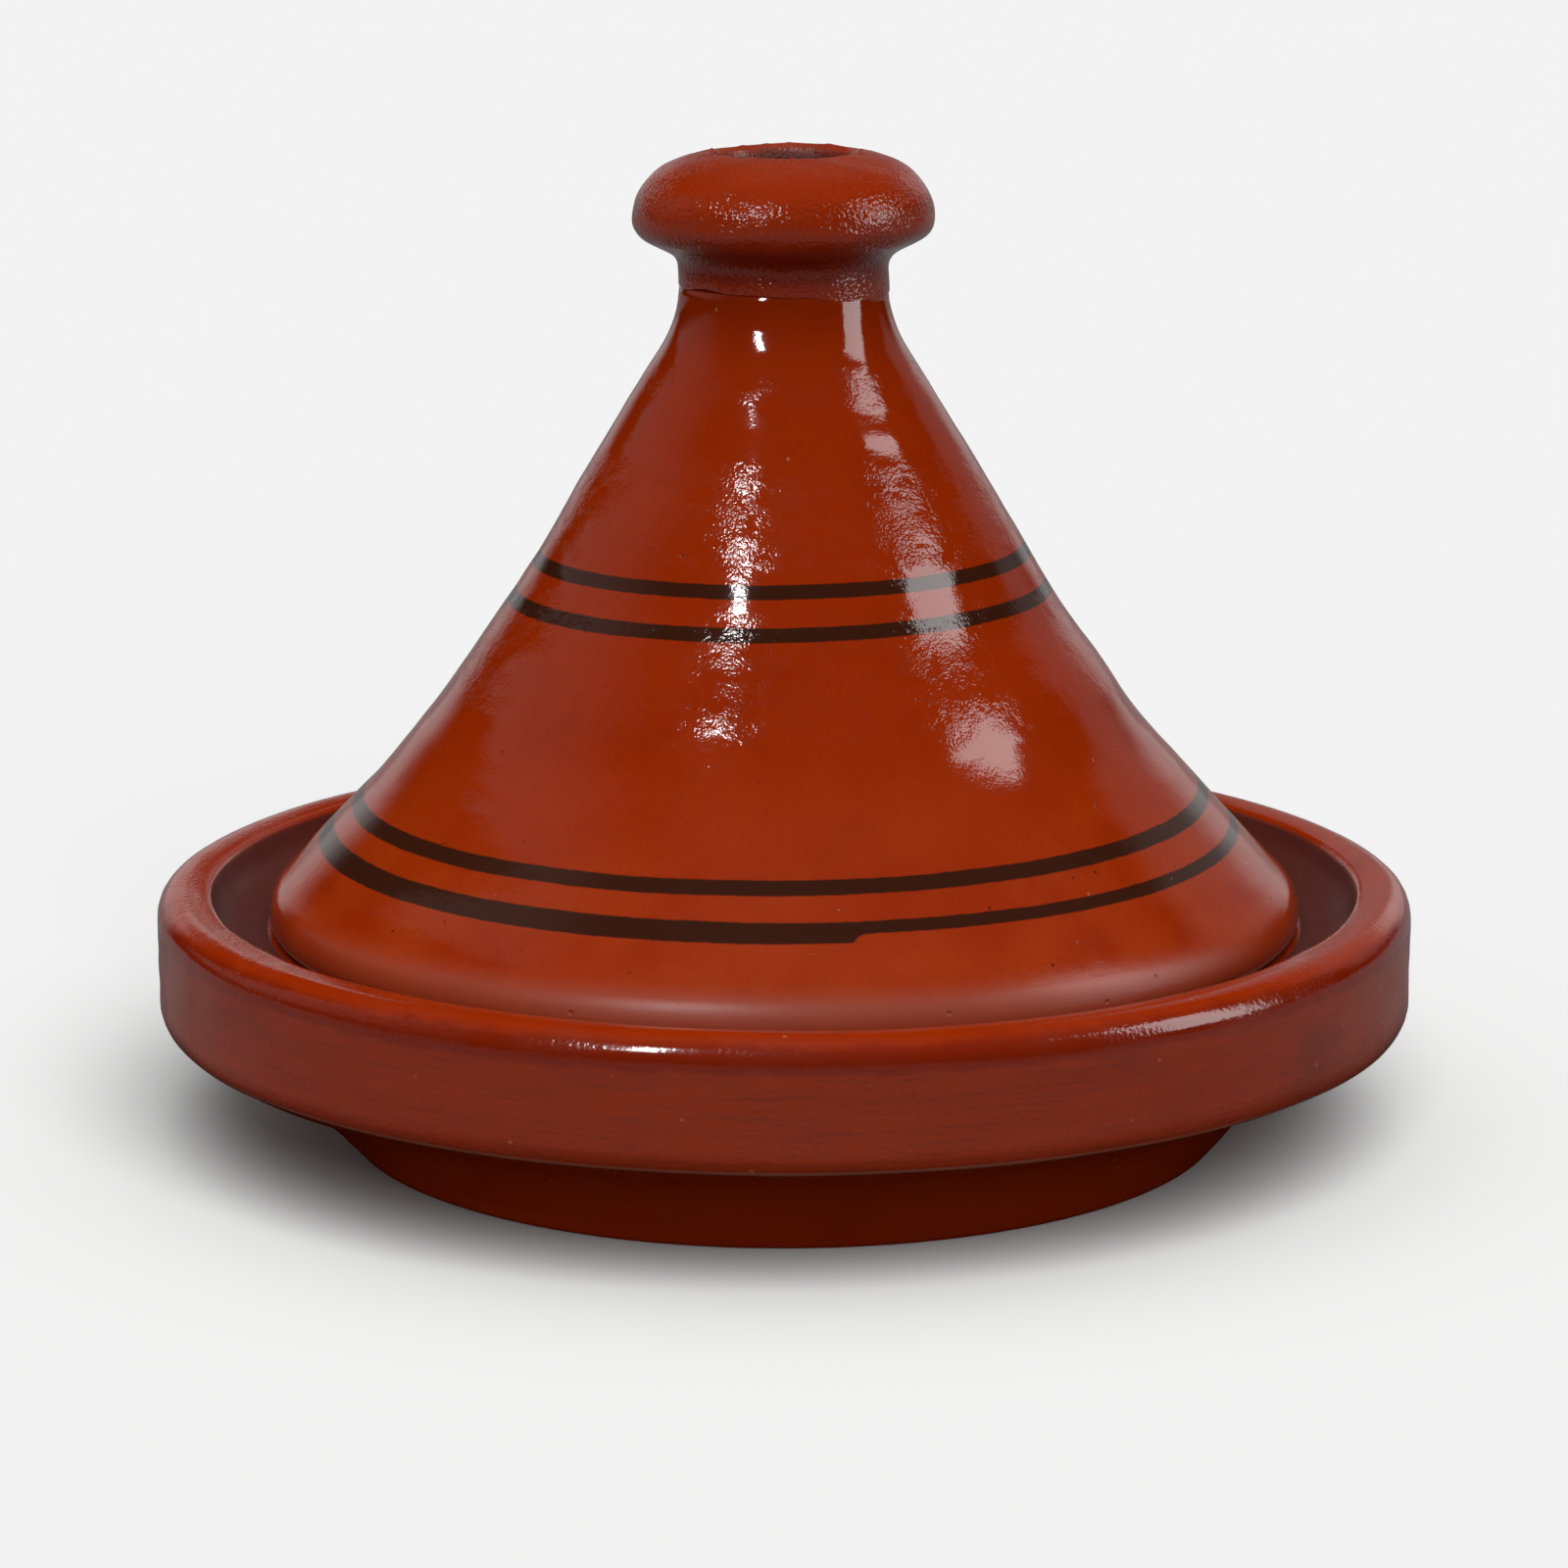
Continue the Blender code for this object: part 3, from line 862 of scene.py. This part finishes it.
# Studio: angles in degrees, azimuths from the front towards the right --------------
CAMERA_DISTANCE = 1.2
CAMERA_RISE = 12.57
CAMERA_AIM = Vector((0.0, 0.0, 0.0841))
CAMERA_LENS = 112.9
SENSOR_WIDTH = 36.0
FLOOR_SIZE = 30.0
BACKDROP = 0.89
FLOOR_GREY = 0.3643
FLOOR_GLEAM = 0.0999
FLOOR_LIGHT = 6.6
FLOOR_LIGHT_SPREAD = 48.0
FLOOR_LIGHT_WAY = (12.0, 44.0)
POT_MIDDLE = Vector((0.0, 0.0, 0.12))
LAMP_WAY = (-26.5, 40.7)
LAMP_DISTANCE = 0.95
LAMP_SIZE = (0.080, 0.267)
LAMP_RADIANCE = 40.0
BOX_CENTRE = Vector((0.940, -0.186, 0.5755))
BOX_TURNED_TO = Vector((-0.806, 0.592, 0.0))
BOX_SIZE = (0.455, 0.790)
BOX_RADIANCE = 5.0
DEGREES = 180 / math.pi

# Light for the shading: at the horizon, more of it overhead and in front, and what is left elsewhere
DOME_LEVEL = 0.30
DOME_TOP = 0.6
DOME_FRONT = 0.40
DOME_BELOW = 0.12
DOME_LEAST = 0.03

# Walls in the gloss: where each one sets in round the room, its foot, top and softness, its brightness
BACK_WALL = ((143.0, 155.0), (-2.0, 19.0, 3.0), 0.52)
LEFT_WALL = ((60.0, 105.0), (11.0, 58.0, 5.0), 0.24)
RIGHT_WALL = ((121.0, 127.0), (8.0, 34.0, 5.0), 0.20)
CEILING = 0.03
# The dim middle of the wall behind: from these azimuths on at the right and at the left, above its foot
DIM_RIGHT = (163.0, 168.0)
DIM_LEFT = (173.0, 178.0)
DIM_FOOT = (3.0, 8.0)
DIMMING = 0.9


def facing(azimuth, elevation):
    """Direction at an azimuth from the front towards the right, and an elevation, in degrees."""
    a, e = math.radians(azimuth), math.radians(elevation)
    return Vector((math.sin(a) * math.cos(e), -math.cos(a) * math.cos(e), math.sin(e)))


def stand(name, data, direction):
    """A lamp or camera that looks along a direction."""
    piece = bpy.data.objects.new(name, data)
    bpy.context.scene.collection.objects.link(piece)
    piece.rotation_euler = direction.to_track_quat("-Z", "Y").to_euler()
    return piece


def place_camera():
    """Camera a little above the rim, far enough off for a long lens."""
    data = bpy.data.cameras.new("camera")
    data.lens = CAMERA_LENS
    data.sensor_width = SENSOR_WIDTH
    away = facing(0.0, CAMERA_RISE)
    camera = stand("camera", data, -away)
    camera.location = CAMERA_AIM + CAMERA_DISTANCE * away
    bpy.context.scene.camera = camera


def floor_paint(mesh):
    """Plain grey, seen by the pot's gloss as black close by, a painted shadow round the foot, and darker
    grey farther off.
    """
    material = bpy.data.materials.new("floor")
    material.use_nodes = True
    nodes = Nodes(material.node_tree)
    glossy = nodes.add("ShaderNodeLightPath", {}, {}, "Is Glossy Ray")
    place = nodes.add("ShaderNodeTexCoord", {}, {}, "Object")
    x, y = place.part("X"), place.part("Y")
    # Painted shadow: near the foot the pot's gloss sees the floor as black
    away = (x * x + y * y).step((FOOT_RADIUS * 1.3) ** 2, (RIM_RADIUS * 1.6) ** 2)
    gleam = plain(nodes, (0.0, 0.0, 0.0)).toned(away, (FLOOR_GLEAM,) * 3)
    grey = plain(nodes, (FLOOR_GREY,) * 3).toned(glossy, gleam)
    paint = nodes.add("ShaderNodeBsdfDiffuse", {}, {"Color": grey})
    nodes.add("ShaderNodeOutputMaterial", {}, {"Surface": paint})
    mesh.materials.append(material)


def place_floor():
    """Plain pale floor, wide enough to fill the view, that bounces no light into the pot's shading."""
    half = FLOOR_SIZE / 2
    mesh = bpy.data.meshes.new("floor")
    mesh.from_pydata([(-half, -half, 0), (half, -half, 0), (half, half, 0), (-half, half, 0)], [],
                     [(0, 1, 2, 3)])
    floor = bpy.data.objects.new("floor", mesh)
    bpy.context.scene.collection.objects.link(floor)
    floor_paint(mesh)
    floor.visible_diffuse = False
    return floor


def light_floor(floor):
    """Soft light from the front that falls on the floor alone, so the pot's shadow stays close to it."""
    only_floor = bpy.data.collections.new("only_floor")
    only_floor.objects.link(floor)
    data = bpy.data.lights.new("floor_light", "SUN")
    data.energy = FLOOR_LIGHT
    data.angle = math.radians(FLOOR_LIGHT_SPREAD)
    sun = stand("floor_light", data, -facing(*FLOOR_LIGHT_WAY))
    sun.light_linking.receiver_collection = only_floor


def panel(name, centre, turned_to, size, radiance):
    """Lit rectangle that only shows as a reflection. Its power is radiance times pi times its area."""
    data = bpy.data.lights.new(name, "AREA")
    data.shape = "RECTANGLE"
    data.size, data.size_y = size
    data.energy = radiance * math.pi * size[0] * size[1]
    lamp = stand(name, data, turned_to)
    lamp.location = centre
    lamp.visible_diffuse = False


def place_panels():
    """A narrow lamp up at the front left, and a tall softbox at the right."""
    lamp_way = facing(*LAMP_WAY)
    panel("lamp", POT_MIDDLE + LAMP_DISTANCE * lamp_way, -lamp_way, LAMP_SIZE, LAMP_RADIANCE)
    panel("right_box", BOX_CENTRE, BOX_TURNED_TO, BOX_SIZE, BOX_RADIANCE)


def soft_dome(toward):
    """Light for the shading: bright overhead, brighter in front than behind, and dim below the horizon."""
    y, z = toward.part("Y"), toward.part("Z")
    above = z.step(-0.02, 0.02)
    high = z * z
    dome = above * (DOME_LEVEL + high + DOME_TOP * high * high - DOME_FRONT * y)
    dome = dome + (1 - above) * DOME_BELOW
    return dome.larger(DOME_LEAST)


def wall(side, rise, start, height, brightness):
    """One wall: it sets in between two azimuths and stands from a foot to a top."""
    return side.step(*start) * rise.between(*height) * brightness


def pale_walls(side, rise):
    """Room for the gloss: a wall behind, dim in the middle above its foot, and one at each side.

    The left wall ends at a slanting edge.
    """
    behind = wall(side.math("ABSOLUTE", side), rise, *BACK_WALL)
    middle = side.step(*DIM_RIGHT) + (-side).step(*DIM_LEFT)
    behind = behind * (1 - middle * rise.step(*DIM_FOOT) * DIMMING)
    left = wall(-side, rise, *LEFT_WALL)
    left = left * (1 - (0.93 * rise - side).step(145.0, 148.0))
    right = wall(side, rise, *RIGHT_WALL)
    return behind + left + right + rise.step(60.0, 80.0) * CEILING


def light_room():
    """World light: the dome for the shading, the room for the gloss and a plain pale backdrop."""
    world = bpy.data.worlds.new("room")
    bpy.context.scene.world = world
    world.use_nodes = True
    world.cycles.sampling_method = "NONE"
    nodes = Nodes(world.node_tree)
    toward = nodes.add("ShaderNodeTexCoord", {}, {}, "Generated")
    glossy = nodes.add("ShaderNodeLightPath", {}, {}, "Is Glossy Ray")
    seen = nodes.add("ShaderNodeLightPath", {}, {}, "Is Camera Ray")
    side = turn_from_front(toward) * DEGREES
    rise = toward.math("ARCSINE", toward.part("Z")) * DEGREES
    dome = soft_dome(toward)
    level = dome + glossy * (pale_walls(side, rise) - dome)
    level = level + seen * (BACKDROP - level)
    shine = nodes.add("ShaderNodeBackground", {}, {"Color": (1.0, 1.0, 1.0, 1.0), "Strength": level})
    nodes.add("ShaderNodeOutputWorld", {}, {"Surface": shine})


# Build -------------------------------------------------------------------------

def build():
    """Makes the studio, then the pieces and their finishes."""
    place_camera()
    light_floor(place_floor())
    place_panels()
    light_room()
    bpy.context.scene.view_settings.view_transform = "Standard"
    pieces = [
        (make_dish, dish_glaze, "base", "base_dish", "dish_glaze"),
        (make_cone, lid_glaze, "lid", "lid_cone", "lid_glaze"),
        (make_knob, knob_glaze, "lid", "lid_knob", "knob_glaze"),
    ]
    for make, finish, body, node, slot in pieces:
        piece = make()
        piece.data.materials.append(finish())
        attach(piece, body)
        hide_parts(node)


build()
